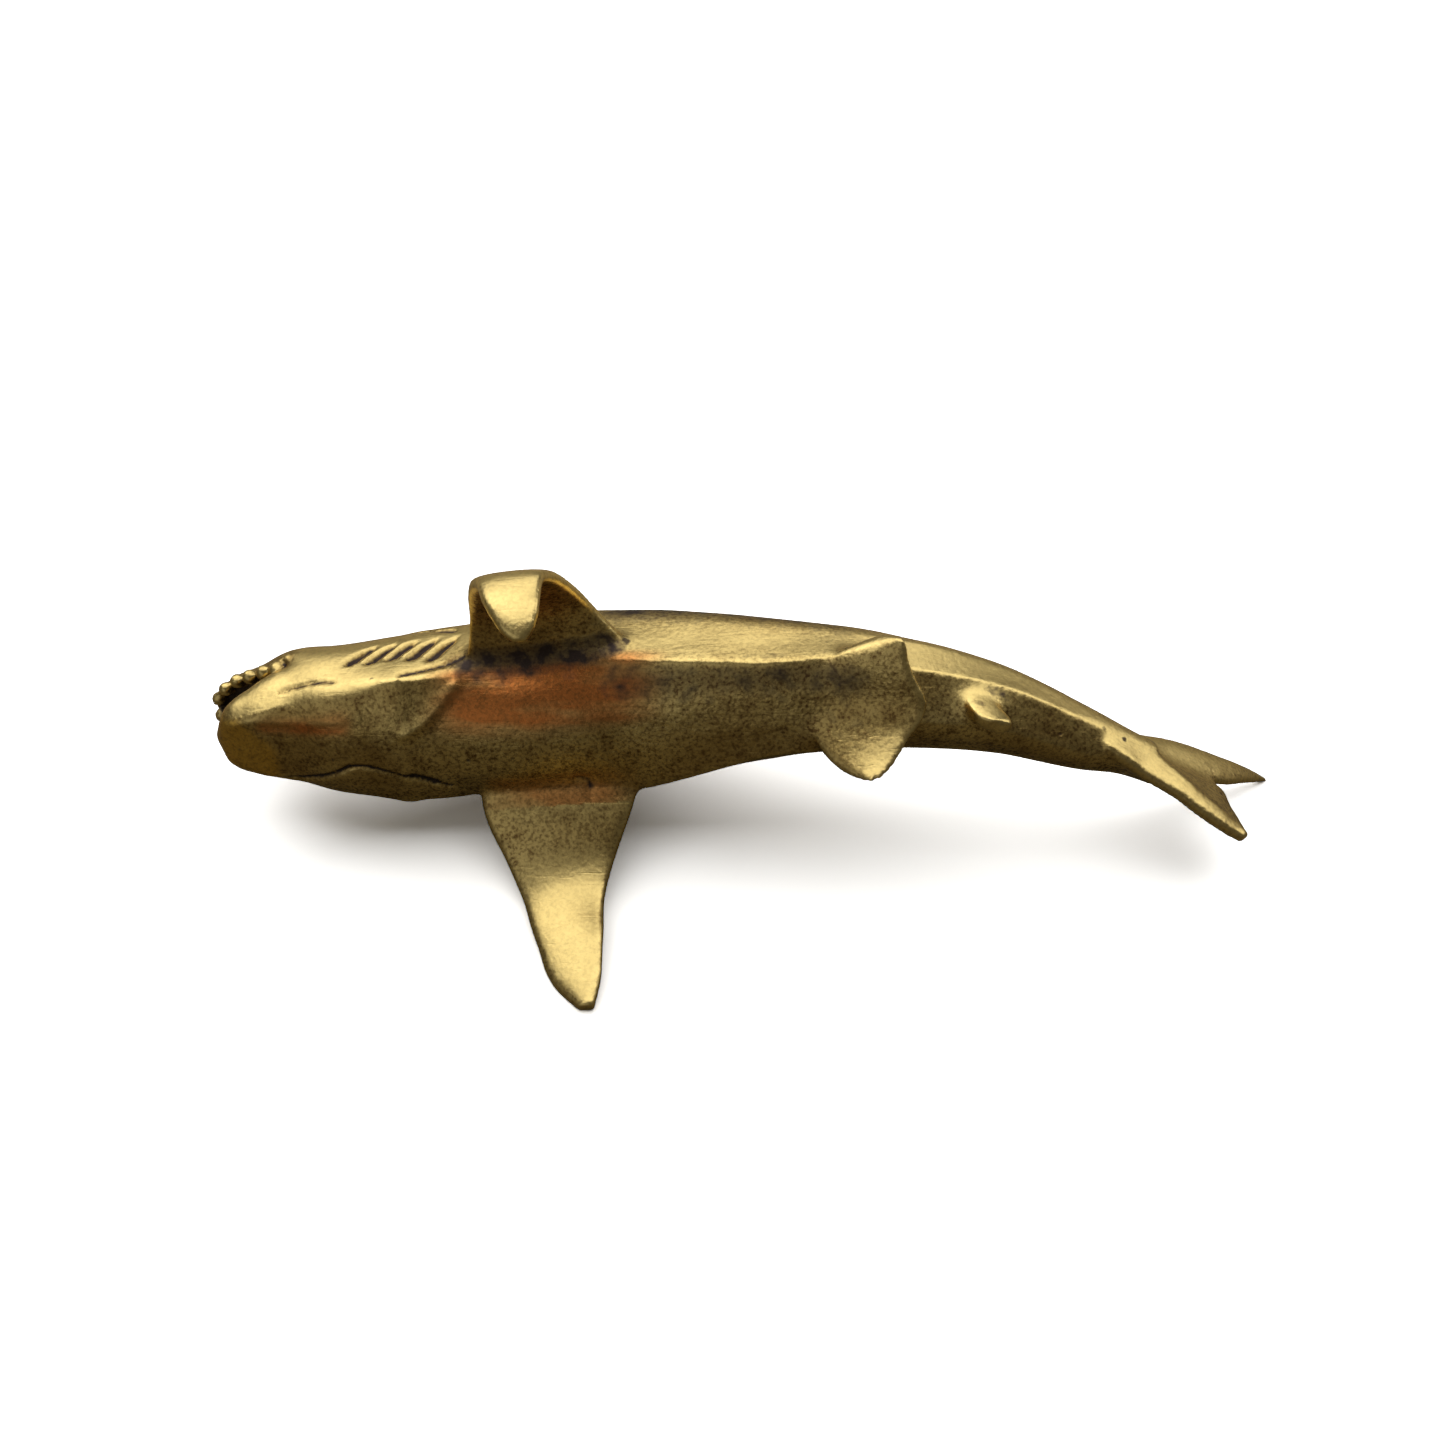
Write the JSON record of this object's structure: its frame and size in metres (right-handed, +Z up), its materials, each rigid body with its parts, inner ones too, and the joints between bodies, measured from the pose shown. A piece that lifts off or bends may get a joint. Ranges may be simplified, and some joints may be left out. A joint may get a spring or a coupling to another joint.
{
  "type": "shark figurine",
  "caption": "Small solid brass shark lying on its side, with a bent body, open mouth, gill slits and arched side fins.",
  "frame": {"origin": "centre of the bounding box, at the height of the table the figurine lies on", "axes": "+X from the snout to the tail, +Z up, belly turned toward -Y"},
  "size_m": [0.0802, 0.037, 0.0252],
  "materials": {
    "brass": "as cast and tumbled to a soft polish, with a dark patina left in the recesses"
  },
  "bodies": {
    "root": {"shark_figurine": "brass"}
  },
  "joints": []
}
